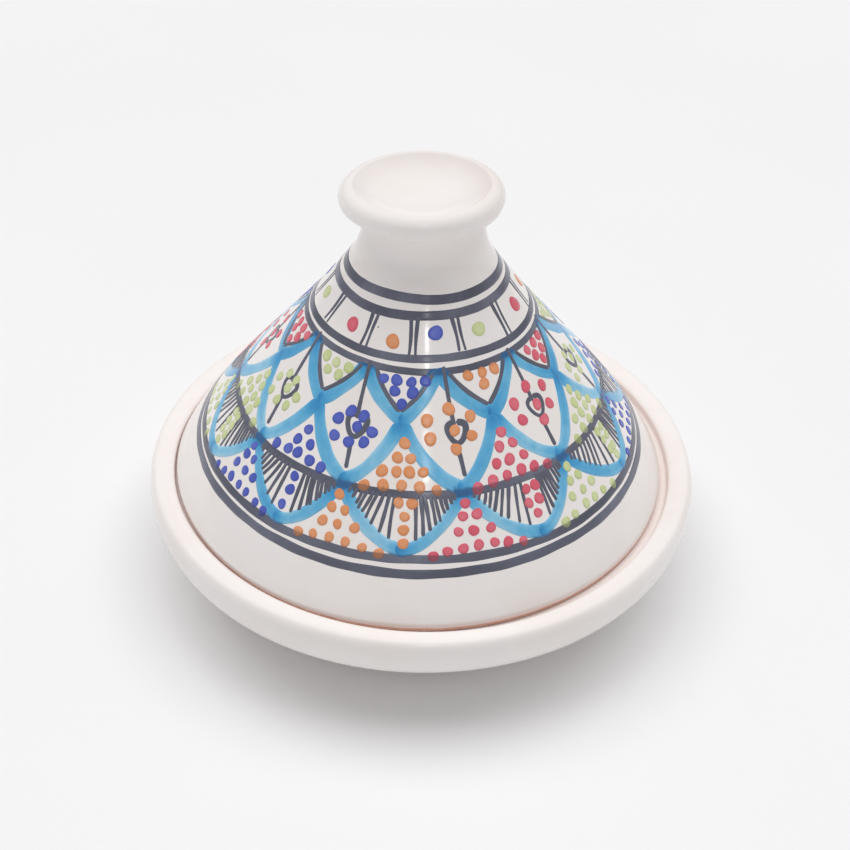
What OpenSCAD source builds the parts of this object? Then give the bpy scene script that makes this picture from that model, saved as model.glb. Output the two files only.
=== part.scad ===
// Tagine pot: a glazed earthenware dish with a seat inside its rim, and a
// conical lid with a saucer knob, which lifts straight off.
// Millimetres, +Z up, origin on the table under the middle of the foot.

/* [Dish] */
// Outside diameter of the dish at the widest part of its rim
dish_d = 250; // [200:1:320]
// Height of the dish from the table to the top of its rim
dish_h = 50; // [42:1:80]
// Width of the rim, from its widest part in to its inner edge
rim_w = 11.5; // [9:0.5:16]
// Height of the upright outer band of the rim
rim_band_h = 19; // [12:0.5:22]
// How far the rim's outer band stands out past the bowl under it
rim_overhang = 13; // [8:0.5:16]
// Depth of the lid's seat below the top of the rim
seat_depth = 6; // [4:0.5:9]
// Width of the seat
seat_w = 7; // [5:0.5:10]
// Thickness of the floor above the foot's recess
floor_t = 7; // [5:0.5:12]
// Diameter of the foot ring
foot_d = 160; // [120:1:170]
// Width of the foot ring where it stands
foot_w = 9; // [6:0.5:14]
// Height of the foot ring, which is the depth of the recess inside it
foot_h = 3; // [2:0.5:6]

/* [Lid] */
// Gap all round between the lid's edge and the inside of the rim
lid_gap = 2; // [1.2:0.1:4]
// Height of the cone from its lower edge to its throat
cone_h = 105; // [85:1:140]
// Wall thickness of the cone and the neck
lid_wall = 7.5; // [5:0.5:10]
// Height of the upright edge at the foot of the cone
edge_h = 4; // [3:0.5:6]
// How far the cone's side swells near its foot
belly = 5; // [0:0.5:9]
// How far the cone's side draws in below the throat
waist = 3; // [0:0.5:6]
// Outside diameter of the throat, where the cone turns up into the neck
throat_d = 63; // [56:1:80]
// Height of the neck above the throat
neck_h = 23.5; // [16:0.5:36]
// Outside diameter of the neck at its narrowest
neck_d = 51; // [44:1:54]

/* [Knob] */
// Outside diameter of the knob's rolled rim
knob_d = 67; // [60:1:80]
// Height of the knob above the neck
knob_h = 11; // [9:0.5:16]
// Thickness of the rolled rim
roll_t = 10.4; // [8:0.2:12]
// Depth of the saucer in the top of the knob
saucer_depth = 7.5; // [4:0.5:8]

/* [Hidden] */
$fn = 120;
curve_steps = 10;

// Dish, worked out from its outside inwards
rim_r = dish_d / 2;
rim_in_r = rim_r - rim_w;
rim_round = 3.5;
rim_lip = 3;
band_foot_z = dish_h - rim_band_h;
bowl_top_r = rim_r - rim_overhang;
bowl_top_z = band_foot_z - 5;
seat_z = dish_h - seat_depth;
seat_in_r = rim_in_r - seat_w;
seat_round = 1.5;
foot_r = foot_d / 2;
foot_in_r = foot_r - foot_w;
foot_round = 1;
floor_z = foot_h + floor_t;
bowl_h = seat_z - floor_z;

// Lid, standing on the seat
edge_r = rim_in_r - lid_gap;
edge_in_r = edge_r - lid_wall;
edge_top_z = seat_z + edge_h;
throat_r = throat_d / 2;
throat_z = seat_z + cone_h;
neck_r = neck_d / 2;
neck_top_r = neck_r + 0.5;
neck_top_z = throat_z + neck_h;
neck_in_r = neck_r - lid_wall;
hollow_top_z = neck_top_z - lid_wall * 1.2;
slope = atan2(throat_z - edge_top_z, edge_r - throat_r);
throat_in_z = throat_z - lid_wall / cos(slope);

// Knob, standing on the neck
knob_top_z = neck_top_z + knob_h;
roll_r = roll_t / 2;
roll_c = [knob_d / 2 - roll_r, knob_top_z - roll_r];
saucer_z = knob_top_z - saucer_depth;
// Where the roll ends just past its crest, and how steeply the saucer starts there, in degrees
lip_a = 95;
lip_slope = 42;

glaze_white = [0.93, 0.92, 0.90];

// Point at t on the cubic curve that leaves a towards b and reaches d from c.
function curve_at(a, b, c, d, t) =
    pow(1 - t, 3) * a + 3 * pow(1 - t, 2) * t * b
    + 3 * (1 - t) * t * t * c + pow(t, 3) * d;

// The curve's points, without the last one.
function curve(a, b, c, d) =
    [for (i = [0 : curve_steps - 1]) curve_at(a, b, c, d, i / curve_steps)];

// Points of an arc of radius r about p, from angle a0 to a1, with both ends.
function arc(p, r, a0, a1) =
    [for (i = [0 : curve_steps])
        let (a = a0 + (a1 - a0) * i / curve_steps)
        p + r * [cos(a), sin(a)]];

// Side of the lid from foot point p to throat point q. It swells by the
// belly a third of the way up, and draws in by the waist at two thirds.
function lid_side(p, q) =
    let (out = [sin(slope), cos(slope)])
    curve(p, p + (q - p) / 3 + belly * out, p + (q - p) * 2 / 3 - waist * out, q);

// Revolves an outline of [radius, height] points about the Z axis.
module turned(outline) {
    rotate_extrude() polygon(outline);
}

// Dish: foot ring, bowl, overhanging rim and the seat inside it
module base_dish() {
    foot = concat(
        [[0, foot_h], [foot_in_r, foot_h], [foot_in_r, foot_round]],
        [[foot_in_r + foot_round, 0], [foot_r - foot_round, 0]],
        [[foot_r, foot_round], [foot_r, foot_h]]);
    bowl_outside = curve(
        [foot_r + foot_round, foot_h + foot_round],
        [foot_r + (bowl_top_r - foot_r) * 0.5, foot_h + 3],
        [bowl_top_r - 4, bowl_top_z - 10],
        [bowl_top_r, bowl_top_z]);
    rim_under = curve(
        [bowl_top_r, bowl_top_z],
        [bowl_top_r + 3, band_foot_z - 2],
        [rim_r - 6, band_foot_z - 2],
        [rim_r - rim_round, band_foot_z]);
    rim_outside = curve(
        [rim_r - rim_round, band_foot_z],
        [rim_r - 1, band_foot_z + 2],
        [rim_r, band_foot_z + 6],
        [rim_r, dish_h - rim_round * 2]);
    rim_shoulder = curve(
        [rim_r, dish_h - rim_round * 2],
        [rim_r, dish_h - rim_round],
        [rim_r - rim_round / 3, dish_h],
        [rim_r - rim_round, dish_h]);
    rim_top = curve(
        [rim_r - rim_round, dish_h],
        [rim_r - rim_round * 2, dish_h],
        [rim_in_r + 1.2, dish_h - rim_lip / 2],
        [rim_in_r, dish_h - rim_lip]);
    seat = concat(
        [[rim_in_r, dish_h - rim_lip], [rim_in_r, seat_z]],
        arc([seat_in_r + seat_round, seat_z - seat_round], seat_round, 90, 180));
    bowl_inside = curve(
        [seat_in_r, seat_z - seat_round * 2],
        [seat_in_r - 1, floor_z + bowl_h * 0.45],
        [seat_in_r * 0.87, floor_z],
        [seat_in_r * 0.6, floor_z]);
    color(glaze_white)
        turned(concat(foot, bowl_outside, rim_under, rim_outside, rim_shoulder,
            rim_top, seat, bowl_inside, [[seat_in_r * 0.6, floor_z], [0, floor_z]]));
}

// Lid: hollow cone and neck in one, closed at the top of the neck
module lid_cone() {
    outside = concat(
        [[edge_r, seat_z]],
        lid_side([edge_r, edge_top_z], [throat_r, throat_z]),
        curve([throat_r, throat_z],
            [neck_r + 1, throat_z + neck_h * 0.3],
            [neck_r - 1, throat_z + neck_h * 0.6],
            [neck_top_r, neck_top_z]),
        [[neck_top_r, neck_top_z]]);
    inside = concat(
        lid_side([edge_in_r, seat_z], [throat_r, throat_in_z]),
        curve([throat_r, throat_in_z],
            [neck_in_r + 2, throat_in_z + lid_wall * 2],
            [neck_in_r, hollow_top_z],
            [0, hollow_top_z]));
    color(glaze_white)
        turned(concat(outside, [[0, neck_top_z], [0, hollow_top_z]],
            [for (i = [len(inside) - 1 : -1 : 0]) inside[i]]));
}

// Knob: a saucer with a rolled rim, set on top of the neck
module lid_knob() {
    roll = arc(roll_c, roll_r, -110, lip_a);
    lip = roll[curve_steps];
    saucer = curve(
        lip,
        lip - roll_r * 1.2 * [cos(lip_slope), sin(lip_slope)],
        [roll_c[0] * 0.5, saucer_z],
        [0, saucer_z]);
    color(glaze_white)
        turned(concat([[0, neck_top_z], [neck_top_r, neck_top_z]],
            roll, [for (i = [1 : curve_steps - 1]) saucer[i]], [[0, saucer_z]]));
}

base_dish();
lid_cone();
lid_knob();
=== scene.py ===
import math

import bpy
import numpy as np
from mathutils import Matrix


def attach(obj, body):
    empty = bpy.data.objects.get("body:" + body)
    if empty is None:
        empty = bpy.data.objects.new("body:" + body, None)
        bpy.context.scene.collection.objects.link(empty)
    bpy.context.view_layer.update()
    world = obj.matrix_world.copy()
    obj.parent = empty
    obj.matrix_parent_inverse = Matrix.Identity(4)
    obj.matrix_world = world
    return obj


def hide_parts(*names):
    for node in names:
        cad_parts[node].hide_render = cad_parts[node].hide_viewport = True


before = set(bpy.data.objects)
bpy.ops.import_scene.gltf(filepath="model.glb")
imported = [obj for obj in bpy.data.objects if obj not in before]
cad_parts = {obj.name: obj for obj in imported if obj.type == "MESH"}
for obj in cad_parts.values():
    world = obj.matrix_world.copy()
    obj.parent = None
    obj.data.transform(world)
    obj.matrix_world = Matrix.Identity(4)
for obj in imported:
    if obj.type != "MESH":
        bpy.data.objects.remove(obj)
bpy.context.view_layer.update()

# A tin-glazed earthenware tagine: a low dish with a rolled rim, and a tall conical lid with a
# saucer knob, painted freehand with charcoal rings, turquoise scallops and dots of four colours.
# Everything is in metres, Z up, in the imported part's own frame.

MM = 0.001
TURN = 2 * np.pi
RNG = np.random.default_rng(20240611)


# ---------------------------------------------------------------- outlines read from the CAD nodes

def cad_outline(node):
    """The node's own outline, as (radius, height) rows from the axis on top to the axis below.

    The nodes are turned solids, so the edges that lie at y = 0 on the positive x side join into one
    open chain, which is the outline. Its two ends are carried straight to the axis.
    """
    nothing = 1e-6
    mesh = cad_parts[node].data
    place = np.empty(len(mesh.vertices) * 3, np.float32)
    mesh.vertices.foreach_get("co", place)
    place = place.reshape(-1, 3).astype(float)
    ends = np.empty(len(mesh.edges) * 2, np.int32)
    mesh.edges.foreach_get("vertices", ends)
    ends = ends.reshape(-1, 2)
    on_seam = (np.abs(place[:, 1]) < nothing) & (place[:, 0] > nothing)
    ends = ends[on_seam[ends].all(axis=1)]
    spots, which = np.unique(np.round(place[:, [0, 2]], 6), axis=0, return_inverse=True)
    ends = np.unique(np.sort(which.reshape(-1)[ends], axis=1), axis=0)
    ends = ends[ends[:, 0] != ends[:, 1]]
    numbers, uses = np.unique(ends, return_counts=True)
    tips = numbers[uses == 1]
    chain = [tips[np.argmax(spots[tips, 1])]]
    left = ends.copy()
    while len(left):
        touching = (left == chain[-1]).any(axis=1)
        if not touching.any():
            break
        pair = left[touching][0]
        chain.append(pair[0] if pair[1] == chain[-1] else pair[1])
        left = left[~touching]
    outline = spots[chain]
    first = [0.0, outline[0, 1]]
    last = [0.0, outline[-1, 1]]
    return np.vstack([[first], outline, [last]])


def turns(points):
    """How far the line turns at each inner point, in degrees."""
    step = np.diff(points, axis=0)
    heading = np.degrees(np.arctan2(step[:, 1], step[:, 0]))
    return (np.diff(heading) + 180) % 360 - 180


def curve_through(points, step):
    """Cubic pieces through the points, at even steps of length.

    The slope at each point is that of the parabola through it and its two neighbours.
    """
    gap = np.hypot(*np.diff(points, axis=0).T)
    at = np.r_[0, np.cumsum(gap)]
    if len(points) > 2:
        slope = np.gradient(points, at, axis=0, edge_order=2)
    else:
        slope = np.repeat((points[1:] - points[:1]) / gap[0], 2, axis=0)
    where = np.linspace(0, at[-1], max(3, math.ceil(at[-1] / step) + 1))
    k = np.clip(np.searchsorted(at, where, "right") - 1, 0, len(gap) - 1)
    u = ((where - at[k]) / gap[k])[:, None]
    h = gap[k][:, None]
    here = (2 * u ** 3 - 3 * u ** 2 + 1) * points[k] + (u ** 3 - 2 * u ** 2 + u) * h * slope[k]
    there = (3 * u ** 2 - 2 * u ** 3) * points[k + 1] + (u ** 3 - u ** 2) * h * slope[k + 1]
    return here + there


def potters_outline(node, rounding, longest, most_turn=8.0, corner=28.0):
    """The CAD outline as a hand would leave it: smooth between corners, and every corner softened.

    Runs between corners (turns of more than corner degrees) become cubic curves. The whole is then
    averaged with a bell curve whose width is rounding. Last, points are spread so that neither the
    distance nor the turn between two neighbours is more than longest and most_turn allow.
    """
    rough = cad_outline(node)
    no_turn = 0.35
    straight = np.r_[False, np.abs(turns(rough)) < no_turn, False]
    rough = rough[~straight]
    corners = np.flatnonzero(np.abs(turns(rough)) > corner) + 1
    stops = np.r_[0, corners, len(rough) - 1]
    fine_step = rounding / 5
    runs = [curve_through(rough[a:b + 1], fine_step)[:-1] for a, b in zip(stops[:-1], stops[1:])]
    line = np.vstack(runs + [rough[-1:]])
    gap = np.r_[0, np.cumsum(np.hypot(*np.diff(line, axis=0).T))]
    even = np.linspace(0, gap[-1], round(gap[-1] / fine_step) + 1)
    line = np.column_stack([np.interp(even, gap, line[:, 0]), np.interp(even, gap, line[:, 1])])
    tail = 20
    weight = np.exp(-0.5 * (np.arange(-tail, tail + 1) * fine_step / rounding) ** 2)
    weight /= weight.sum()
    before = 2 * line[0] - line[tail:0:-1]
    after = 2 * line[-1] - line[-2:-tail - 2:-1]
    padded = np.vstack([before, line, after])
    line = np.column_stack([np.convolve(padded[:, k], weight, "valid") for k in (0, 1)])
    bend = np.r_[0, np.abs(turns(line)), 0]
    effort = np.cumsum(bend / most_turn + fine_step / longest)
    effort -= effort[0]
    even = np.linspace(0, effort[-1], math.ceil(effort[-1]) + 1)
    line = np.column_stack([np.interp(even, effort, line[:, 0]), np.interp(even, effort, line[:, 1])])
    line[[0, -1], 0] = 0.0
    return line


def outward(outline):
    """Unit vectors square to the outline, pointing out of the clay."""
    along = np.gradient(outline, axis=0)
    along[0] = [1, 0]
    along[-1] = [-1, 0]
    across = np.column_stack([-along[:, 1], along[:, 0]])
    return across / np.linalg.norm(across, axis=1, keepdims=True)


# ---------------------------------------------------------------- meshes

def add_piece(name, points, quads, triangles, body, material, values=None, stands_for=()):
    """A smooth-shaded mesh object at the origin, riding on body, from arrays of points and faces.

    values are attributes by name, one number or vector a point. stands_for names CAD nodes.
    """
    mesh = bpy.data.meshes.new(name)
    corners = np.concatenate([np.ravel(quads), np.ravel(triangles)]).astype(np.int32)
    sizes = np.r_[np.full(len(quads), 4), np.full(len(triangles), 3)]
    mesh.vertices.add(len(points))
    mesh.vertices.foreach_set("co", np.asarray(points, np.float32).ravel())
    mesh.loops.add(len(corners))
    mesh.loops.foreach_set("vertex_index", corners)
    mesh.polygons.add(len(sizes))
    mesh.polygons.foreach_set("loop_start", np.r_[0, np.cumsum(sizes)[:-1]].astype(np.int32))
    mesh.update(calc_edges=True)
    mesh.validate()
    mesh.polygons.foreach_set("use_smooth", np.ones(len(sizes), bool))
    for key, value in (values or {}).items():
        value = np.asarray(value, np.float32)
        kind = "FLOAT" if value.ndim == 1 else "FLOAT_VECTOR"
        field = "value" if value.ndim == 1 else "vector"
        mesh.attributes.new(key, kind, "POINT").data.foreach_set(field, value.ravel())
    mesh.materials.append(material)
    piece = bpy.data.objects.new(name, mesh)
    bpy.context.scene.collection.objects.link(piece)
    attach(piece, body)
    if stands_for:
        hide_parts(*stands_for)
    return piece


def turned(outline, segments, push, centre=(0.0, 0.0)):
    """An outline carried once round the upright axis, as points and faces of a closed solid.

    Point (i, j) is outline row i at angle 2 pi j / segments, moved square to the outline by
    push(angle, radius, height). Rows 0 and last lie on the axis, so each is one point, a pole.
    """
    angle = np.arange(segments) * TURN / segments
    square = outward(outline)[1:-1, None]
    radius = outline[1:-1, 0][:, None] + 0 * angle
    height = outline[1:-1, 1][:, None] + 0 * angle
    moved = push(angle[None, :] + 0 * radius, radius, height)
    radius = radius + square[..., 0] * moved
    height = height + square[..., 1] * moved
    x = centre[0] + radius * np.cos(angle)
    y = centre[1] + radius * np.sin(angle)
    rows = len(outline) - 2
    points = np.stack([x, y, height], axis=-1).reshape(-1, 3)
    poles = [[centre[0], centre[1], outline[0, 1]], [centre[0], centre[1], outline[-1, 1]]]
    points = np.vstack([points, poles])
    number = np.arange(rows * segments).reshape(rows, segments)
    beside = np.roll(number, -1, axis=1)
    quads = np.stack([number[:-1], number[1:], beside[1:], beside[:-1]], axis=-1).reshape(-1, 4)
    top = np.full(segments, rows * segments)
    first_fan = np.stack([top, number[0], beside[0]], axis=-1)
    last_fan = np.stack([top + 1, beside[-1], number[-1]], axis=-1)
    return points, quads, np.vstack([first_fan, last_fan])


def per_ring(values, segments):
    """One value for each point of turned(), from a (rows, segments) array with the two end rows."""
    values = np.broadcast_to(values, (len(values), segments))
    return np.r_[values[1:-1].ravel(), values[0, 0], values[-1, 0]]


# ---------------------------------------------------------------- materials

def linear(code, alpha=1.0):
    """An sRGB hex colour as linear red, green, blue and alpha."""
    value = np.array([int(code[k:k + 2], 16) for k in (1, 3, 5)]) / 255
    value = np.where(value <= 0.04045, value / 12.92, ((value + 0.055) / 1.055) ** 2.4)
    return (*value, alpha)


def node(tree, kind, settings=None, inputs=None):
    """Adds a node. A tuple (node, socket) among the inputs is linked, and anything else is set."""
    made = tree.nodes.new(kind)
    for key, value in (settings or {}).items():
        setattr(made, key, value)
    for key, value in (inputs or {}).items():
        if isinstance(value, tuple) and isinstance(value[0], bpy.types.Node):
            tree.links.new(value[0].outputs[value[1]], made.inputs[key])
        else:
            made.inputs[key].default_value = value
    return made


def ramp(tree, fac, stops):
    """A colour ramp over (position, hex colour) stops, fed by fac = (node, socket)."""
    made = node(tree, "ShaderNodeValToRGB", inputs={"Fac": fac})
    points = made.color_ramp.elements
    while len(points) < len(stops):
        points.new(0.5)
    for point, (position, code) in zip(points, stops):
        point.position = position
        point.color = linear(code)
    return made


def finish_material(tree, shader):
    """Sends the shader to the surface."""
    node(tree, "ShaderNodeOutputMaterial", inputs={"Surface": (shader, "BSDF")})


def new_material(name):
    """A material with an empty node tree, and that tree."""
    material = bpy.data.materials.new(name)
    material.use_nodes = True
    material.node_tree.nodes.clear()
    return material, material.node_tree


def tin_glazed_earthenware():
    """Tin-glazed earthenware: pink clay under an opaque white glaze, dipped and fired glossy.

    To the eye: a milky white, a little warm and uneven over 30 to 60 mm where the dip lay thicker,
    pink where it runs thin (the attribute thin), finely rippled so that highlights wander, and with
    a few pinholes. Matt terracotta shows where the glaze was wiped off (the attribute bare).
    """
    material, tree = new_material("tin_glazed_earthenware")
    where = node(tree, "ShaderNodeTexCoord")
    place = (where, "Object")
    bare = node(tree, "ShaderNodeAttribute", {"attribute_name": "bare"})
    thin = node(tree, "ShaderNodeAttribute", {"attribute_name": "thin"})
    # milky clouds about 40 mm across, and a finer mottle of 6 mm
    clouds = node(tree, "ShaderNodeTexNoise", {},
                  {"Vector": place, "Scale": 25.0, "Detail": 3.0, "Roughness": 0.5})
    glaze = ramp(tree, (clouds, "Fac"), [(0.30, "#F7F0EB"), (0.52, "#FAF5F2"), (0.75, "#F8F3F1")])
    blush = node(tree, "ShaderNodeMix", {"data_type": "RGBA"},
                 {"Factor": (thin, "Fac"), "A": (glaze, "Color"), "B": linear("#EBCFC6")})
    # fired clay: 1 mm grit, lighter and darker
    grit = node(tree, "ShaderNodeTexNoise", {},
                {"Vector": place, "Scale": 900.0, "Detail": 4.0, "Roughness": 0.65})
    clay = ramp(tree, (grit, "Fac"), [(0.32, "#D29A84"), (0.55, "#DFAF9B"), (0.72, "#EBC5B4")])
    # the wiped edge of the glaze wanders by about half a millimetre
    wander = node(tree, "ShaderNodeTexNoise", {},
                  {"Vector": place, "Scale": 160.0, "Detail": 2.0})
    edge = node(tree, "ShaderNodeMath", {"operation": "MULTIPLY_ADD"},
                {0: (wander, "Fac"), 1: 0.5, 2: (bare, "Fac")})
    wiped = node(tree, "ShaderNodeMapRange", {"interpolation_type": "SMOOTHSTEP"},
                 {"Value": (edge, "Value"), "From Min": 0.68, "From Max": 0.82})
    colour = node(tree, "ShaderNodeMix", {"data_type": "RGBA"},
                  {"Factor": (wiped, "Result"), "A": (blush, "Result"), "B": (clay, "Color")})
    gloss = node(tree, "ShaderNodeMapRange", {},
                 {"Value": (wiped, "Result"), "To Min": 0.13, "To Max": 0.75})
    # burst bubbles: brown pinholes under 1 mm wide, about a palm's width apart
    bubbles = node(tree, "ShaderNodeTexVoronoi", {}, {"Vector": place, "Scale": 55.0})
    pinhole = node(tree, "ShaderNodeMapRange", {"interpolation_type": "SMOOTHSTEP"},
                   {"Value": (bubbles, "Distance"), "From Min": 0.018, "From Max": 0.034,
                    "To Min": 0.8, "To Max": 0.0})
    specked = node(tree, "ShaderNodeMix", {"data_type": "RGBA"},
                   {"Factor": (pinhole, "Result"), "A": (colour, "Result"), "B": linear("#8A7A74")})
    # the surface: 5 mm waves in the glaze, with orange peel down to 1 mm; grit on the bare clay
    waves = node(tree, "ShaderNodeTexNoise", {},
                 {"Vector": place, "Scale": 200.0, "Detail": 3.0, "Roughness": 0.55})
    swell = node(tree, "ShaderNodeBump", {},
                 {"Strength": 0.12, "Distance": 0.0001, "Height": (waves, "Fac")})
    pits = node(tree, "ShaderNodeMath", {"operation": "MULTIPLY"},
                {0: (grit, "Fac"), 1: (wiped, "Result")})
    rough = node(tree, "ShaderNodeBump", {},
                 {"Strength": 0.5, "Distance": 0.0004, "Height": (pits, "Value"),
                  "Normal": (swell, "Normal")})
    shader = node(tree, "ShaderNodeBsdfPrincipled", {},
                  {"Base Color": (specked, "Result"), "Roughness": (gloss, "Result"),
                   "IOR": 1.5, "Normal": (rough, "Normal")})
    finish_material(tree, shader)
    return material


def brushed_colour(name, stops, over_colour, roughness):
    """Metal-oxide colour brushed on the white glaze and fired into it, so it is as glossy as it.

    To the eye: the tone follows how much pigment the brush left (the attribute tone). Fine streaks
    lie along the stroke: bristles leave them 0.5 mm apart, and they are drawn 1 mm apart so that
    they show. Where the stroke crosses a charcoal ring it turns to over_colour (the attribute
    over), because the dark shows through. The attribute brush is (along, across) the stroke.
    """
    material, tree = new_material(name)
    tone = node(tree, "ShaderNodeAttribute", {"attribute_name": "tone"})
    over = node(tree, "ShaderNodeAttribute", {"attribute_name": "over"})
    brush = node(tree, "ShaderNodeAttribute", {"attribute_name": "brush"})
    stretch = node(tree, "ShaderNodeMapping", {},
                   {"Vector": (brush, "Vector"), "Scale": (0.12, 1.0, 1.0)})
    streak = node(tree, "ShaderNodeTexNoise", {},
                  {"Vector": (stretch, "Vector"), "Scale": 900.0, "Detail": 2.0})
    mottle = node(tree, "ShaderNodeTexNoise", {},
                  {"Vector": (brush, "Vector"), "Scale": 220.0, "Detail": 3.0})
    sway = node(tree, "ShaderNodeMath", {"operation": "MULTIPLY_ADD"},
                {0: (streak, "Fac"), 1: 0.14, 2: (tone, "Fac")})
    load = node(tree, "ShaderNodeMath", {"operation": "MULTIPLY_ADD"},
                {0: (mottle, "Fac"), 1: 0.26, 2: (sway, "Value")})
    pigment = ramp(tree, (load, "Value"), stops)
    colour = node(tree, "ShaderNodeMix", {"data_type": "RGBA"},
                  {"Factor": (over, "Fac"), "A": (pigment, "Color"), "B": linear(over_colour)})
    shader = node(tree, "ShaderNodeBsdfPrincipled", {},
                  {"Base Color": (colour, "Result"), "Roughness": roughness, "IOR": 1.5})
    finish_material(tree, shader)
    return material


def studio_paper():
    """Seamless background paper: matt and almost white, with clouds too faint to name."""
    material, tree = new_material("studio_paper")
    where = node(tree, "ShaderNodeTexCoord")
    fibre = node(tree, "ShaderNodeTexNoise", {},
                 {"Vector": (where, "Object"), "Scale": 3.0, "Detail": 2.0})
    tint = ramp(tree, (fibre, "Fac"), [(0.3, "#F3F3F3"), (0.7, "#F5F5F5")])
    shader = node(tree, "ShaderNodeBsdfPrincipled", {},
                  {"Base Color": (tint, "Color"), "Roughness": 0.9, "IOR": 1.3})
    finish_material(tree, shader)
    return material


WHITE = tin_glazed_earthenware()
CHARCOAL = brushed_colour(
    "charcoal_manganese_line",
    [(0.15, "#8D8F9E"), (0.38, "#747786"), (0.60, "#666877"), (0.90, "#575A67")],
    "#666877", 0.2)
TURQUOISE = brushed_colour(
    "turquoise_copper_wash",
    [(0.12, "#A2D6EE"), (0.32, "#70BCE3"), (0.55, "#4CA5D8"), (0.95, "#2F83C0")],
    "#386898", 0.18)
COBALT = brushed_colour(
    "cobalt_enamel", [(0.2, "#6F7DD0"), (0.5, "#5262BE"), (0.9, "#414EAC")], "#43497F", 0.22)
ORANGE = brushed_colour(
    "orange_enamel", [(0.2, "#F0B088"), (0.5, "#E89A68"), (0.9, "#D98853")], "#9A6C55", 0.22)
RED = brushed_colour(
    "red_enamel", [(0.2, "#EE8996"), (0.5, "#E26678"), (0.9, "#D04F64")], "#8E4F5E", 0.22)
GREEN = brushed_colour(
    "yellow_green_enamel", [(0.2, "#E3EABF"), (0.5, "#D1DCA0"), (0.9, "#BDCA87")], "#858D66", 0.22)
PAPER = studio_paper()


# ---------------------------------------------------------------- dish, lid and knob

# The lid stands a little to the left of the dish's middle.
LID_CENTRE = (-1.6 * MM, 0.0)
# The dish and the lid are pushed in by this on average, so that no bump lies outside the CAD.
SKIN = 0.30 * MM


def waver(angle, phase, sizes):
    """A slow hand-thrown waver round the pot: a sum of 2, 3, 4 ... waves a turn."""
    return sum(size * np.sin((k + 2) * angle + phase + 1.7 * k) for k, size in enumerate(sizes))


def dish_push(angle, radius, height):
    """Throwing marks 5 mm apart, climbing slightly, and a slow waver; always into the clay.

    The foot and the middle of the bowl stay as they are.
    """
    rise = height / (5.0 * MM) * TURN
    ridges = 0.045 * MM * np.sin(rise + radius / (9 * MM) + 2 * np.sin(angle))
    above_foot = np.clip((height - 6 * MM) / (8 * MM), 0, 1)
    off_middle = np.clip((radius - 40 * MM) / (30 * MM), 0, 1)
    slow = waver(angle, 0.6, (0.10 * MM, 0.07 * MM, 0.05 * MM))
    return (ridges + slow - SKIN) * above_foot * off_middle


def lid_push(angle, radius, height):
    """Throwing marks 7 mm apart and a slow waver, which fade out at the axis; into the clay."""
    ridges = 0.018 * MM * np.sin(height / (7.0 * MM) * TURN + 1.5 * np.sin(angle + 1))
    slow = waver(angle + 0.008 * radius / MM, 2.1, (0.10 * MM, 0.08 * MM, 0.05 * MM))
    off_middle = np.clip((radius - 4 * MM) / (16 * MM), 0, 1)
    return (ridges + slow - SKIN) * off_middle


DISH = potters_outline("base_dish", 0.5 * MM, 1.7 * MM)
LID = potters_outline("lid_cone", 0.55 * MM, 1.9 * MM)
KNOB = potters_outline("lid_knob", 0.4 * MM, 0.9 * MM)


def fade(value, start, end):
    """0 before start, 1 after end, and a smooth step between."""
    t = np.clip((value - start) / (end - start), 0, 1)
    return t * t * (3 - 2 * t)


def dish_values(outline, segments):
    """The dish is bare under its foot ring, and its glaze runs thin on the seat and the rim."""
    radius = outline[:, :1]
    height = outline[:, 1:]
    seat = fade(radius, 105.5 * MM, 107 * MM) * (1 - fade(radius, 114.2 * MM, 115.0 * MM))
    seat = seat * fade(height, 42.5 * MM, 43.4 * MM)
    bare = 1 - fade(height, 1.2 * MM, 2.6 * MM)
    thin = np.maximum(0.17 * seat, 0.05 * fade(height, 47 * MM, 50 * MM))
    return {"bare": per_ring(bare, segments), "thin": per_ring(thin, segments)}


def build_dish():
    """The dish: foot ring, bowl, seat and rolled rim in one turned surface."""
    segments = 256
    points, quads, triangles = turned(DISH, segments, dish_push)
    return add_piece("dish", points, quads, triangles, "dish", WHITE,
                     dish_values(DISH, segments), ["base_dish"])


def build_lid():
    """The hollow cone and neck, bare on the ring that stands on the seat."""
    segments = 288
    points, quads, triangles = turned(LID, segments, lid_push, LID_CENTRE)
    bare = 1 - fade(LID[:, 1:], 44.9 * MM, 46.3 * MM)
    thin = 0.5 * (1 - fade(LID[:, 1:], 45.6 * MM, 48.0 * MM))
    values = {"bare": per_ring(bare, segments), "thin": per_ring(thin, segments)}
    return add_piece("lid", points, quads, triangles, "lid", WHITE, values, ["lid_cone"])


def knob_push(angle, radius, height):
    """The roll swells and thins by about a quarter of a millimetre each way round the turn."""
    off_middle = np.clip((radius - 8 * MM) / (12 * MM), 0, 1)
    return waver(angle, 1.1, (0.12 * MM, 0.08 * MM, 0.05 * MM)) * off_middle


def build_knob():
    """The saucer knob, stuck on a little crooked: low on the left by 1.3 degrees, and off centre.

    The lean comes in over the first 4 mm above the foot, which stays flat on the neck. The knob is
    squashed and sunk just enough for its high side to stay inside the CAD solid's height.
    """
    segments = 192
    points, quads, triangles = turned(KNOB, segments, knob_push, LID_CENTRE)
    foot = KNOB[-1, 1]
    squash, sink, aside = 0.985, 0.62 * MM, 1.2 * MM
    rise = points[:, 2] - foot
    lean = fade(points[:, 2], foot, foot + 4 * MM)
    tilt = lean * math.tan(math.radians(1.3)) * (points[:, 0] - LID_CENTRE[0])
    points[:, 2] = foot + rise * squash + tilt - sink * lean
    points[:, 0] -= aside * lean
    radius = np.hypot(points[:, 0] - LID_CENTRE[0], points[:, 1])
    saucer_edge = np.exp(-((radius - 25 * MM) / (4 * MM)) ** 2) * (points[:, 2] > foot + 6 * MM)
    values = {"bare": np.zeros(len(points)), "thin": 0.10 * saucer_edge}
    return add_piece("knob", points, quads, triangles, "lid", WHITE, values,
                     ["lid_knob"])


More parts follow.
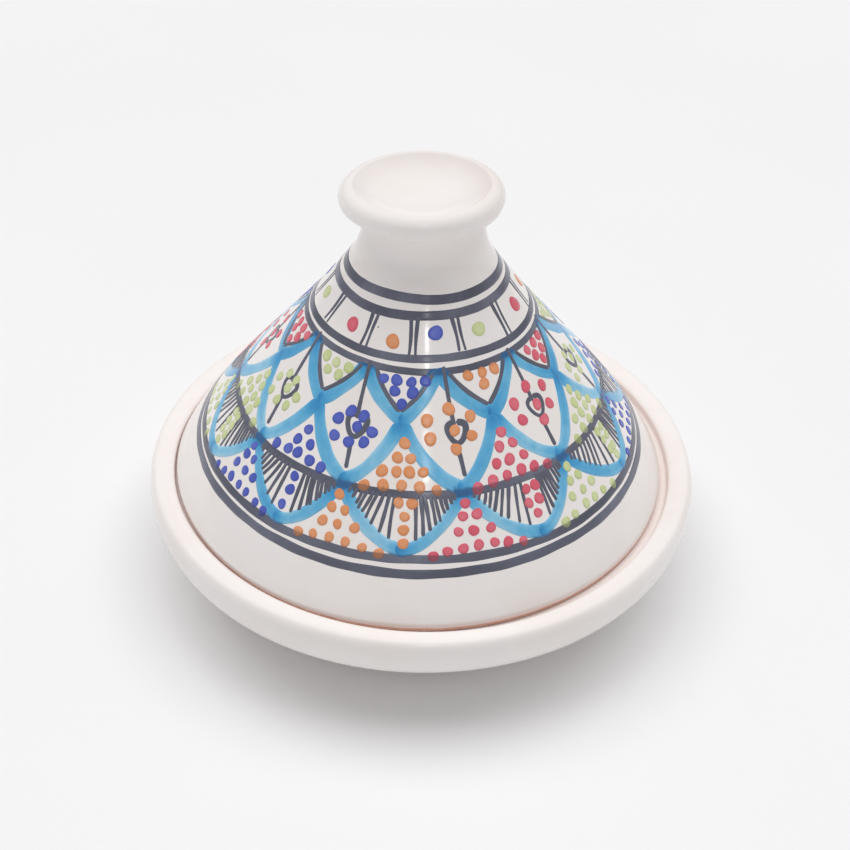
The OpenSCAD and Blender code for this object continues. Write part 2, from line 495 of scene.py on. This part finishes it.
build_dish()
build_lid()
build_knob()


# ---------------------------------------------------------------- painting on the cone

# The painted side of the lid, 160 mm down to 47 mm above the table: its outline as (radius,
# height), the outward vectors and the distance along it.
SIDE_ROWS = slice(int(np.argmax(LID[:, 1] < 160 * MM)), int(np.argmax(LID[:, 1] < 47 * MM)))
SIDE = LID[SIDE_ROWS]
SIDE_OUT = outward(LID)[SIDE_ROWS]
SIDE_RUN = np.r_[0, np.cumsum(np.hypot(*np.diff(SIDE, axis=0).T))]


def on_cone(angle, radius, lift):
    """Points on the lid's outer side at an angle and radius, raised square to it by lift.

    Angle 0 is the front, -Y, and grows to the right, +X.
    """
    height = np.interp(radius, SIDE[:, 0], SIDE[:, 1])
    out_r = np.interp(radius, SIDE[:, 0], SIDE_OUT[:, 0])
    out_z = np.interp(radius, SIDE[:, 0], SIDE_OUT[:, 1])
    round_z = angle - np.pi / 2
    moved = lid_push(round_z, radius, height) + lift
    far = radius + out_r * moved
    x = LID_CENTRE[0] + far * np.cos(round_z)
    y = LID_CENTRE[1] + far * np.sin(round_z)
    return np.stack([x, y, height + out_z * moved], axis=-1)


def run_at(radius):
    """Distance down the lid's side, along the clay, to a radius."""
    return np.interp(radius, SIDE[:, 0], SIDE_RUN)


def radius_at(run):
    """The radius at a distance down the lid's side."""
    return np.interp(run, SIDE_RUN, SIDE[:, 0])


# (inner radius, outer radius) of the seven charcoal rings
RINGS = np.array([(31.0, 33.3), (34.7, 37.0), (45.3, 47.4), (48.3, 50.2), (79.8, 82.0),
                  (96.0, 98.2), (98.9, 101.2)]) * MM
RING_PHASE = np.arange(len(RINGS)) * 2.3


def ring_edges(k, angle):
    """Inner and outer radius of ring k at an angle: each edge wavers by some tenths of a mm.

    Both edges share a slow sway. Each also has a quick one of its own, weaker on the small rings.
    """
    phase = RING_PHASE[k]
    quick = np.clip(RINGS[k, 0] / (90 * MM), 0.3, 1) ** 1.5
    slow = 0.18 * MM * np.sin(2 * angle + phase) + 0.10 * MM * np.sin(5 * angle + 2 * phase)
    inner = 0.07 * MM * np.sin(17 * angle + phase) + 0.05 * MM * np.sin(31 * angle + 3 * phase)
    outer = 0.07 * MM * np.sin(13 * angle + 2 * phase) + 0.05 * MM * np.sin(37 * angle + phase)
    return RINGS[k, 0] + slow + quick * inner, RINGS[k, 1] + slow + quick * outer


def over_rings(angle, radius):
    """1 where a point lies over a charcoal ring, 0 elsewhere, soft over 0.4 mm."""
    soft = 0.2 * MM
    found = np.zeros(np.shape(radius))
    for k in range(len(RINGS)):
        inner, outer = ring_edges(k, angle)
        past_inner = fade(radius, inner - soft, inner + soft)
        past_outer = fade(radius, outer - soft, outer + soft)
        found = np.maximum(found, past_inner * (1 - past_outer))
    return found


# A film of paint is this thick, and its underside is sunk in the glaze by SUNK thicknesses.
FILM = 0.03 * MM
SUNK = -3.5
# A stroke's cross-section: place across (-1 to 1) and height in thicknesses. Its two outer points
# make its underside, so the film has no open edge.
SECTION = np.array([(-1.0, SUNK), (-0.95, 0.6), (-0.55, 1.0), (0.0, 1.0), (0.55, 1.0), (0.95, 0.6),
                    (1.0, SUNK)])


def tube_faces(strokes, rows, closed):
    """Faces of several tubes of len(SECTION) points a row; closed tubes are joined end to start."""
    across = len(SECTION)
    number = np.arange(strokes * rows * across).reshape(strokes, rows, across)
    beside = np.roll(number, -1, axis=2)
    if closed:
        ahead, ahead_beside = np.roll(number, -1, axis=1), np.roll(beside, -1, axis=1)
    else:
        number, ahead = number[:, :-1], number[:, 1:]
        beside, ahead_beside = beside[:, :-1], beside[:, 1:]
    return np.stack([number, beside, ahead_beside, ahead], axis=-1).reshape(-1, 4)


def paint_rings():
    """Each ring is a film between its two wavering edges, carried all the way round.

    Its tone swells three and eleven times a turn, as the brush was loaded and ran dry.
    """
    rows = 720
    angle = np.arange(rows) * TURN / rows
    parts = []
    tones = []
    for k in range(len(RINGS)):
        inner, outer = ring_edges(k, angle)
        run_in, run_out = run_at(inner)[:, None], run_at(outer)[:, None]
        run = (run_in + run_out) / 2 - SECTION[:, 0] * (run_out - run_in) / 2
        turn = np.broadcast_to(angle[:, None], run.shape)
        parts.append(on_cone(turn, radius_at(run), SECTION[:, 1] * FILM))
        load = 0.42 + 0.16 * np.sin(3 * angle + RING_PHASE[k]) + 0.10 * np.sin(11 * angle + k)
        tones.append(np.broadcast_to(load[:, None], run.shape))
    points = np.array(parts).reshape(-1, 3)
    usual_radius = 60 * MM
    along = np.broadcast_to((angle * usual_radius)[None, :, None], (len(RINGS), rows, len(SECTION)))
    side = np.broadcast_to((SECTION[:, 0] * MM)[None, None, :], along.shape)
    apart = (RING_PHASE * 0.01)[:, None, None]
    brush = np.stack([along, side + apart, 0 * along], axis=-1)
    values = {"tone": np.array(tones).ravel(), "over": np.zeros(len(points)),
              "brush": brush.reshape(-1, 3)}
    quads = tube_faces(len(RINGS), rows, True)
    add_piece("charcoal_rings", points, quads, np.zeros((0, 3), int), "lid",
              CHARCOAL, values)


def brush_strokes(angle, radius, width, layer):
    """Round-ended strokes along paths on the cone, as points, brush coordinates and ring overlap.

    angle and radius are (strokes, rows) paths, width the full width along them, and layer the
    height of the paint below. Each row is moved sideways by half the width times the place across,
    square to the path as it lies on the clay. Near each end the width follows a half circle, and
    the paint is lower where a stroke is under 1 mm wide.
    """
    nothing = 1e-9
    run = run_at(radius)
    step_a = np.gradient(angle, axis=1) * radius
    step_s = np.gradient(run, axis=1)
    size = np.maximum(np.hypot(step_a, step_s), nothing)
    covered = np.cumsum(size, axis=1) - size[:, :1]
    total = covered[:, -1:]
    half = width / 2
    to_end = np.minimum(covered, total - covered)
    cap = np.clip(to_end / half, 0, 1)
    half = half * np.sqrt(np.clip(1 - (1 - cap) ** 2, 0, 1)) + 0.01 * MM
    side_a, side_s = -step_s / size, step_a / size
    across = SECTION[:, 0]
    new_angle = angle[..., None] + side_a[..., None] * half[..., None] * across / radius[..., None]
    new_run = run[..., None] + side_s[..., None] * half[..., None] * across
    new_radius = radius_at(new_run)
    heap = np.clip(half / (0.5 * MM), 0.05, 1.0)[..., None]
    layer = np.reshape(layer, (-1, 1, 1))
    film = SECTION[:, 1] * FILM
    lift = np.where(film < 0, film, film * heap + layer * heap)
    points = on_cone(new_angle, new_radius, lift)
    number = np.arange(len(angle))[:, None, None]
    brush = np.stack([covered[..., None] + 0 * across + 0.05 * number,
                      half[..., None] * across + 0.013 * number, 0 * new_run], axis=-1)
    return points, brush, over_rings(new_angle, new_radius)


def add_strokes(name, families, material, pale_edge=0.0):
    """Several families of strokes as one piece. A family is (angle, radius, width, tone, layer).

    The tone falls by pale_edge from a stroke's middle to its edges, as the square of the way out.
    """
    points, brushes, overs, tones, faces = [], [], [], [], []
    count = 0
    for angle, radius, width, tone, layer in families:
        made, brush, over = brush_strokes(angle, radius, width, layer)
        strokes, rows = angle.shape
        quads = tube_faces(strokes, rows, False)
        ends = np.arange(strokes * rows * len(SECTION)).reshape(strokes, rows, len(SECTION))
        faces.append((quads + count, ends[:, 0] + count, ends[:, -1, ::-1] + count))
        points.append(made.reshape(-1, 3))
        brushes.append(brush.reshape(-1, 3))
        overs.append(over.ravel())
        toned = tone[..., None] - pale_edge * SECTION[:, 0] ** 2
        tones.append(np.broadcast_to(toned, over.shape).ravel())
        count += len(points[-1])
    quads = np.vstack([f[0] for f in faces])
    caps = np.vstack([c for f in faces for c in f[1:]])
    fan = np.concatenate([caps[:, [0, k + 1, k]] for k in range(1, len(SECTION) - 1)])
    values = {"tone": np.concatenate(tones), "over": np.concatenate(overs),
              "brush": np.vstack(brushes)}
    add_piece(name, np.vstack(points), quads, fan, "lid", material, values)


# Where the painter's hand put things: angles in degrees, one for each leaf, round the lid. TIP and
# LEAF_FOOT are a leaf's two ends. SWAG and HEM are the low points of the scallops to its right, in
# the top row and the bottom row.
TIP = np.array([-96.0, -59.5, -25.5, 8.0, 45.0, 80.0, 117.0, 153.5, 190.5, 227.0])
LEAF_FOOT = np.array([-90.0, -54.5, -21.5, 13.0, 47.0, 82.5, 120.0, 156.5, 193.5, 230.5])
SWAG = np.array([-73.0, -40.0, -6.0, 28.0, 65.0, 99.0, 136.5, 173.0, 210.0, 246.5])
HEM = np.array([-70.2, -36.2, -3.2, 32.8, 67.8, 102.8, 138.8, 175.8, 212.8, 249.8])
NEXT_TIP = np.r_[TIP[1:], TIP[0] + 360]
NEXT_FOOT = np.r_[LEAF_FOOT[1:], LEAF_FOOT[0] + 360]
LAST_SWAG = np.r_[SWAG[-1] - 360, SWAG[:-1]]
LEAVES = len(TIP)
# Each leaf's stem starts STEM_SHIFT to the right of its tip and comes back by STEM_LEAN at its
# foot. The heart breaks it at STEM_BREAK of its way down.
STEM_SHIFT = np.array([0.8, 0.9, 1.3, 3.0, 1.2, 0.8, 1.5, 0.6, 2.0, 1.0])
STEM_LEAN = 1.6
STEM_BREAK = 0.55
# The inner edge of the bottom row of scallops, in mm: radius = HEM_EDGE + HEM_DROP * (1 - way **
# HEM_POWER), where way goes from 0 at a low point to 1 at the next leaf's foot.
HEM_EDGE = 78.9
HEM_DROP = 14.6
HEM_POWER = 1.7

# Rows along a stroke, closer together at its two ends
ALONG = (1 - np.cos(np.linspace(0, np.pi, 41))) / 2


def jitter(size, *shape):
    """Even scatter between -size and size."""
    return RNG.uniform(-size, size, shape)


def half_arcs(low, high, r_low, r_high, power):
    """Strokes from a low point up to a high one: radius = low + (high - low) * t ** power.

    Each starts a little before its low point, level, so that two halves lap over each other.
    """
    lap = 0.10
    t = ALONG[None, :] * (1 + lap) - lap
    angle = low[:, None] + (high - low)[:, None] * t
    radius = r_low[:, None] + (r_high - r_low)[:, None] * np.maximum(t, 0) ** power
    return np.radians(angle), radius * MM


def turquoise_family(low, high, r_low, r_high, power, width, base_tone, layer):
    """Half scallops that swell by a tenth along their way, with the wash pooled at both ends."""
    angle, radius = half_arcs(low, high, r_low, r_high, power)
    t = ALONG[None, :]
    strokes = len(low)
    phase = RNG.uniform(0, 6.28, (strokes, 1))
    swell = 1 + 0.07 * np.sin(7 * t + phase) + 0.03 * np.sin(17 * t + 2 * phase)
    wide = width * MM * swell * (1 + jitter(0.06, strokes, 1))
    deep, pool = 0.42, 0.13
    pooled = deep * np.exp(-(t / pool) ** 2) + deep * np.exp(-((1 - t) / pool) ** 2)
    tone = base_tone + jitter(0.07, strokes, 1) + pooled + 0.08 * np.sin(5 * t + phase)
    step = (np.arange(strokes) % 2)[:, None] * 0.004 * MM
    return angle, radius, wide, tone, layer + step


def near(value, size):
    """One value for each leaf, scattered by size."""
    return value + jitter(size, LEAVES)


def paint_scallops():
    """Three rows of scallops, each half of each scallop its own stroke from its low point up.

    Each family lies 0.012 mm above the one before, so that no two films share a surface.
    """
    swag_low, leaf_low, hem_low = near(61.6, 0.4), near(79.3, 0.3), near(94.9, 0.3)
    swag_top, hem_top = near(49.0, 0.5), near(80.4, 0.3)
    leaf_top = swag_low + 0.8
    # each row's (power, width in mm, tone)
    swag, leaf, hem = (1.35, 6.2, 0.24), (1.5, 5.8, 0.12), (HEM_POWER, 5.4, 0.15)
    families = [
        turquoise_family(SWAG, TIP, swag_low, swag_top, *swag, 0.012 * MM),
        turquoise_family(SWAG, NEXT_TIP, swag_low, np.roll(swag_top, -1), *swag, 0.024 * MM),
        turquoise_family(LEAF_FOOT, LAST_SWAG, leaf_low, np.roll(leaf_top, 1), *leaf, 0.036 * MM),
        turquoise_family(LEAF_FOOT, SWAG, leaf_low, leaf_top, *leaf, 0.048 * MM),
        turquoise_family(HEM, LEAF_FOOT, hem_low, hem_top, *hem, 0.060 * MM),
        turquoise_family(HEM, NEXT_FOOT, hem_low, np.roll(hem_top, -1), *hem, 0.072 * MM),
    ]
    add_strokes("turquoise_scallops", families, TURQUOISE, 0.16)


def line_family(a0, r0, a1, r1, w0, w1, bow=0.0, tone=0.45, layer=0.09):
    """Near-straight strokes from (a0, r0) to (a1, r1), bowed sideways by bow degrees.

    Angles are in degrees, and radii, the widths w0 and w1 at the two ends and layer are in mm.
    """
    a0, r0, a1, r1, w0, w1, bow = np.broadcast_arrays(a0, r0, a1, r1, w0, w1, bow)
    t = ALONG[None, ::2]
    bend = bow[:, None] * np.sin(np.pi * t)
    angle = np.radians(a0[:, None] + (a1 - a0)[:, None] * t + bend)
    radius = (r0[:, None] + (r1 - r0)[:, None] * t) * MM
    thick = w0[:, None] * (1 - t) + w1[:, None] * t
    phase = RNG.uniform(0, 6.28, (len(a0), 1))
    thick = thick * (1 + 0.08 * np.sin(9 * t + phase)) * MM
    shade = tone + jitter(0.1, len(a0), 1) + 0 * t
    return angle, radius, thick, shade, layer * MM + 0 * shade[:, :1]


def hatch_family():
    """Fringe under the middle ring: nine short strokes each side of every scallop.

    They start at even steps and lean outwards by rate degrees a millimetre, more to the left than
    to the right. Where a stroke meets the scallop's inner edge is found by twelve half steps.
    """
    each = 9
    place = np.arange(each) / (each - 1)
    first, last, ring_edge, shortest = 2.7, 0.84, 81.2, 82.9
    rows = []
    for side in (-1, 1):
        reach = np.where(side < 0, HEM - LEAF_FOOT, NEXT_FOOT - HEM)[:, None]
        start = first + (reach * last - first) * place + jitter(0.2, LEAVES, each)
        most = 0.36 if side < 0 else 0.20
        rate = most * np.minimum(1, 0.15 + 2.5 * place) * (1 + jitter(0.15, LEAVES, each))
        depth = 86.0 + 0 * start
        for _ in range(12):
            end = start + rate * (depth - ring_edge)
            edge = HEM_EDGE + HEM_DROP * (1 - np.minimum(end / reach, 1) ** HEM_POWER)
            depth = (depth + edge) / 2
        depth = np.maximum(depth, shortest) + jitter(0.35, LEAVES, each)
        rows.append((HEM[:, None] + side * start, HEM[:, None] + side * end, depth))
    a0 = np.concatenate([row[0].ravel() for row in rows])
    a1 = np.concatenate([row[1].ravel() for row in rows])
    r1 = np.concatenate([row[2].ravel() for row in rows])
    count = len(a0)
    wide = 1.6 + jitter(0.2, count)
    return line_family(a0, 81.0 + jitter(0.2, count), a1, r1, wide, 0.85 * wide,
                       jitter(0.25, count), 0.5)


def loop_family():
    """A small heart on each leaf stem: one closed turn, pinched at the top.

    With turn t, it goes wide * sin(t) * (1 + 0.15 * cos(t)) sideways and tall * cos(t) up, less
    0.35 * cos(2 t), all in mm.
    """
    turn = np.linspace(0, TURN, 41)[None, :]
    stem_foot = LEAF_FOOT + STEM_SHIFT - STEM_LEAN
    middle = (STEM_BREAK * stem_foot + (1 - STEM_BREAK) * (TIP + STEM_SHIFT) + 0.6)[:, None]
    wide = (3.7 + jitter(0.4, LEAVES))[:, None]
    tall = (2.7 + jitter(0.3, LEAVES))[:, None]
    radius = 65.0 - tall * np.cos(turn) + 0.35 * np.cos(2 * turn)
    angle = middle + np.degrees(wide * np.sin(turn) * (1 + 0.15 * np.cos(turn)) / radius)
    thick = (2.2 + jitter(0.4, LEAVES)[:, None] + 0.35 * np.sin(turn + 1)) * MM
    tone = np.full(radius.shape, 0.5)
    layer = np.full((LEAVES, 1), 0.105 * MM)
    return np.radians(angle), radius * MM, thick, tone, layer


# The pairs of short lines between the cells round the neck: their angles, and how far the lower
# end of each pair leans to the right, in degrees.
DIVIDER = np.array([-88, -59, -29.5, -4, 21, 52, 84, 114, 144, 174, 204, 238])
DIVIDER_LEAN = np.array([-1, -2, -1, 0, 1, 0.5, 0, 1, -1, 0, 1, 0])


def paint_lines():
    """All the thin charcoal strokes: cell dividers, V shapes, leaf stems, hearts and fringe."""
    n = len(DIVIDER)
    leant = DIVIDER + DIVIDER_LEAN
    left = line_family(DIVIDER - 2.2 + jitter(0.4, n), 36.4 + jitter(0.3, n), leant - 2.0,
                       46.2 + jitter(1.2, n), 1.9 + jitter(0.2, n), 1.1, 0.6, 0.5, 0.02)
    right = line_family(DIVIDER + 2.0 + jitter(0.4, n), 36.4 + jitter(0.3, n), leant + 1.5,
                        45.6 + jitter(0.6, n), 1.6 + jitter(0.3, n), 1.0, -0.4, 0.5, 0.02)
    middle = (TIP + NEXT_TIP) / 2 + 1.2 + jitter(0.4, LEAVES)
    depth = 60.1 + jitter(0.5, LEAVES)
    spread = 0.385 * (NEXT_TIP - TIP)
    vee_left = line_family(middle - spread, 50.0, middle, depth, 1.8, 2.0, -0.9)
    vee_right = line_family(middle + spread, 50.0, middle + 0.3, depth, 1.7, 1.9, 0.9)
    stem_foot = LEAF_FOOT + STEM_SHIFT - STEM_LEAN + jitter(0.3, LEAVES)
    stem_mid = STEM_BREAK * stem_foot + (1 - STEM_BREAK) * (TIP + STEM_SHIFT)
    upper = line_family(TIP + STEM_SHIFT, 48.2 + jitter(0.3, LEAVES), stem_mid, 63.6, 1.5, 1.8,
                        jitter(0.4, LEAVES))
    lower = line_family(stem_mid, 67.6, stem_foot, 77.2 + jitter(0.5, LEAVES), 1.7, 1.9,
                        jitter(0.3, LEAVES))
    families = [left, right, vee_left, vee_right, upper, lower, loop_family(), hatch_family()]
    add_strokes("charcoal_lines", families, CHARCOAL)


paint_rings()
paint_scallops()
paint_lines()


# ---------------------------------------------------------------- dots

COLOURS = {"green": ("green_dots", "green_paint", GREEN),
           "blue": ("cobalt_dots", "cobalt_paint", COBALT),
           "orange": ("orange_dots", "orange_paint", ORANGE),
           "red": ("red_dots", "red_paint", RED)}
# The colour of the dots inside each leaf
LEAF_COLOUR = ["red", "green", "blue", "orange", "red", "green", "blue", "orange", "green", "blue"]
DOTS = {name: [] for name in COLOURS}


def dot(colour, angle, radius, size):
    """Note one dot: its middle's angle in degrees and radius in mm, and its width in mm."""
    DOTS[colour].append((angle, radius, size))


def dot_rows(colour, middle, rows, size, drift=0.0):
    """A triangle of dots: rows of (radius, number, spacing in degrees) about a middle angle.

    The middle moves on by drift degrees for each millimetre out from the first row. Rows of five
    or more sag at their ends.
    """
    for radius, number, spacing in rows:
        here = middle + drift * (radius - rows[0][0])
        for k in range(number):
            shift = (k - (number - 1) / 2) * spacing
            sag = 0.012 * shift ** 2 * (number > 4)
            dot(colour, here + shift, radius + sag, size)


def lay_out_dots():
    """Every dot's colour, angle, radius and size, field by field round the lid.

    vee is under each V, field between two leaves, column and hem in the bottom row of scallops,
    stemmed and ringed (in green and blue) about a leaf's heart, and cells round the neck.
    """
    vee = [[(51.9, 4, 6.2), (54.6, 2, 8.0), (57.2, 1, 0)], [(51.9, 3, 6.8), (54.7, 2, 6.2)],
           [(51.9, 4, 6.2), (54.9, 2, 7.8), (57.8, 1, 0)], [(51.4, 3, 7.0), (54.3, 1, 0)],
           [(51.6, 3, 6.6), (54.3, 2, 6.6), (56.8, 1, 0)]]
    field = [[(68.4, 1, 0), (71.9, 2, 4.4), (75.4, 4, 4.3), (78.7, 5, 5.2)],
             [(71.2, 1, 0), (74.6, 2, 5.2), (78.0, 5, 4.4)],
             [(67.8, 1, 0), (71.6, 2, 4.2), (75.3, 4, 4.2), (78.6, 5, 5.2)],
             [(67.6, 1, 0), (71.2, 2, 4.4), (75.1, 3, 5.0), (78.7, 6, 4.7)]]
    hem = [[(83.8, 1, 0), (87.2, 2, 3.4), (91.0, 3, 4.3), (94.7, 6, 4.1)],
           [(83.6, 1, 0), (86.7, 2, 3.8), (90.6, 3, 4.2), (94.4, 7, 3.8)]]
    column = {"blue": [(83.6, 1, 0), (87.4, 1, 0), (91.4, 1, 0)],
              "orange": [(83.2, 2, 3.6), (86.6, 1, 0), (90.0, 1, 0), (93.3, 1, 0)],
              "red": [(83.7, 2, 2.9), (87.3, 2, 2.9), (90.8, 1, 0)],
              "green": [(83.2, 2, 2.8), (86.4, 2, 2.8), (89.6, 2, 2.4), (92.4, 1, 0)]}
    stemmed = [(0.6, 59.2), (-7.6, 61.9), (8.4, 61.7), (-6.6, 66.6), (7.6, 66.7), (1.6, 69.6),
               (1.8, 64.8)]
    ringed = [(-1.0, 62.4), (4.3, 62.5), (-4.8, 65.2), (8.6, 66.1), (-4.2, 69.4), (1.2, 70.0),
              (6.6, 69.3), (2.6, 65.7)]
    for k in range(LEAVES):
        own, following = LEAF_COLOUR[k], LEAF_COLOUR[(k + 1) % LEAVES]
        dot_rows(own, (TIP[k] + NEXT_TIP[k]) / 2 + 2.0, vee[k % 5], 4.7)
        dot_rows(following, SWAG[k] + 1.5, field[k % 4], 4.7)
        dot_rows(following, HEM[k] - 0.1, column[following], 4.4)
        dot_rows(following, LEAF_FOOT[k] + 0.2, hem[k % 2], 4.3, 0.2)
        for shift, radius in (ringed if own in ("green", "blue") else stemmed):
            dot(own, TIP[k] + STEM_SHIFT[k] - 0.4 + shift, radius, 4.5 if own == "green" else 5.0)
    cells = [(-77.0, 40.4, "green"), (-42.0, 41.8, "red"), (-15.5, 42.5, "orange"),
             (8.5, 39.9, "blue"), (34.5, 41.0, "green"), (70.0, 40.8, "red"),
             (99.0, 41.5, "orange"), (129.0, 40.8, "blue"), (159.0, 41.2, "green"),
             (189.0, 41.6, "red"), (221.0, 40.9, "orange"), (254.0, 41.3, "blue")]
    for angle, radius, colour in cells:
        dot(colour, angle, radius, 6.4)


def paint_dots(name, material, dots, layer):
    """Low domes: each is three rings of 16 points round a middle, its edge sunk in the glaze.

    A ring's radius is half the dot's width times spread, made uneven by waves of two and three to
    the turn. Its height is layer and rise film thicknesses; the dome's top is a little above.
    """
    dots = np.array(dots, float)
    count = len(dots)
    around = 16
    spread = np.array([1.0, 0.94, 0.5])
    rise = np.array([SUNK, 0.5, 1.0]) * FILM
    dome = 0.035 * MM
    longer = 1.03
    turn = np.arange(around) * TURN / around
    angle = np.radians(dots[:, 0] + jitter(0.35, count))
    run = run_at((dots[:, 1] + jitter(0.2, count)) * MM)
    half = dots[:, 2] / 2 * MM * (1 + jitter(0.09, count))
    phase = RNG.uniform(0, 6.28, (count, 1))
    uneven = 1 + 0.06 * np.sin(2 * turn + phase) + 0.035 * np.sin(3 * turn + 2 * phase)
    reach = (half[:, None] * uneven)[:, None, :] * spread[:, None]
    centre_radius = radius_at(run)[:, None, None]
    step = np.cos(turn) * reach
    new_angle = angle[:, None, None] + step / centre_radius
    new_run = run[:, None, None] + np.sin(turn) * reach * longer
    new_radius = radius_at(new_run)
    lift = np.where(rise < 0, rise, layer + rise)[:, None] + 0 * new_run
    rings = on_cone(new_angle, new_radius, lift)
    top = on_cone(angle, radius_at(run), layer + dome + 0 * angle)
    bottom = on_cone(angle, radius_at(run), SUNK * FILM + 0 * angle)
    size = 3 * around
    points = np.concatenate([rings.reshape(count, size, 3), top[:, None], bottom[:, None]], axis=1)
    base = (np.arange(count) * (size + 2))[:, None]
    here = np.arange(around)
    there = (here + 1) % around
    quads = [np.stack([a + here, a + around + here, a + around + there, a + there], -1)
             for a in (0, around)]
    quads = (np.concatenate(quads)[None] + base[..., None]).reshape(-1, 4)
    cap = np.stack([2 * around + here, np.full(around, size), 2 * around + there], -1)
    floor = np.stack([here, there, np.full(around, size + 1)], -1)
    fans = (np.concatenate([cap, floor])[None] + base[..., None]).reshape(-1, 3)
    middle = over_rings(angle, radius_at(run))
    over = np.concatenate([over_rings(new_angle, new_radius).reshape(count, size),
                           middle[:, None], middle[:, None]], axis=1)
    edge = np.concatenate([np.repeat([0.45, 0.38, 0.22], around), [0.2, 0.3]])
    tone = edge[None, :] + jitter(0.1, count, 1)
    flat = np.concatenate([np.stack([step, np.sin(turn) * reach], -1).reshape(count, size, 2),
                           np.zeros((count, 2, 2))], axis=1)
    flat = flat + 0.02 * base[..., None] * MM
    brush = np.concatenate([flat, np.zeros((count, size + 2, 1))], axis=2)
    values = {"tone": tone.ravel(), "over": (0.85 * over).ravel(), "brush": brush.reshape(-1, 3)}
    add_piece(name, points.reshape(-1, 3), quads, fans, "lid", material, values)


# The dots lie on top of all the strokes.
DOT_LAYER = 0.115 * MM
lay_out_dots()
for colour, (piece_name, slot_name, paint) in COLOURS.items():
    paint_dots(piece_name, paint, DOTS[colour], DOT_LAYER)


# ---------------------------------------------------------------- floor, light and camera

def plain_floor():
    """A very large square of background paper just under the foot."""
    half = 12.0
    corners = [(-half, -half, 0), (half, -half, 0), (half, half, 0), (-half, half, 0)]
    mesh = bpy.data.meshes.new("studio_floor")
    mesh.from_pydata(corners, [], [(0, 1, 2, 3)])
    mesh.materials.append(PAPER)
    floor = bpy.data.objects.new("studio_floor", mesh)
    bpy.context.scene.collection.objects.link(floor)


def sunlight(name, power, place, wide, glossy=True):
    """A sun that shines from place towards the origin; wide is its angle in degrees."""
    lamp = bpy.data.lights.new(name, "SUN")
    lamp.energy = power
    lamp.angle = math.radians(wide)
    light = bpy.data.objects.new(name, lamp)
    x, y, z = place
    light.location = place
    light.rotation_euler = (math.atan2(math.hypot(x, y), z), 0, math.atan2(x, -y))
    light.visible_glossy = glossy
    bpy.context.scene.collection.objects.link(light)


def studio():
    """Daylight from two wide windows and a pale room; a small glint runs down the front.

    The camera sees the pale wall behind the paper, and everything else sees the softer sky.
    """
    world = bpy.data.worlds.new("studio_air")
    bpy.context.scene.world = world
    world.use_nodes = True
    tree = world.node_tree
    tree.nodes.clear()
    soft_sky = node(tree, "ShaderNodeBackground", {}, {"Color": linear("#FCFBFD"), "Strength": 0.39})
    pale_wall = node(tree, "ShaderNodeBackground", {}, {"Color": linear("#F9F9FA"), "Strength": 0.94})
    seen = node(tree, "ShaderNodeLightPath")
    choice = node(tree, "ShaderNodeMixShader", {},
                  {0: (seen, "Is Camera Ray"), 1: (soft_sky, "Background"),
                   2: (pale_wall, "Background")})
    node(tree, "ShaderNodeOutputWorld", {}, {"Surface": (choice, "Shader")})
    sunlight("left_window", 1.06, (-0.42, 0.26, 1.2), 44, False)
    sunlight("right_window", 1.04, (0.40, 0.26, 1.2), 44, False)
    sunlight("front_glint", 0.06, (0.085, -0.95, 0.86), 0.7)
    bpy.context.scene.view_settings.view_transform = "Standard"


def camera():
    """The viewing place: in front, looking down by 37.7 degrees through a 50 mm lens."""
    data = bpy.data.cameras.new("camera")
    data.lens = 50.0
    data.sensor_width = 36.0
    eye = bpy.data.objects.new("camera", data)
    eye.location = (0.0, -0.4294, 0.3931)
    pan = Matrix.Rotation(math.radians(-0.14), 3, "Z")
    tilt = Matrix.Rotation(math.radians(52.27), 3, "X")
    roll = Matrix.Rotation(math.radians(1.58), 3, "Z")
    eye.rotation_mode = "QUATERNION"
    eye.rotation_quaternion = (pan @ tilt @ roll).to_quaternion()
    data.clip_start, data.clip_end = 0.01, 60.0
    bpy.context.scene.collection.objects.link(eye)
    bpy.context.scene.camera = eye


plain_floor()
studio()
camera()
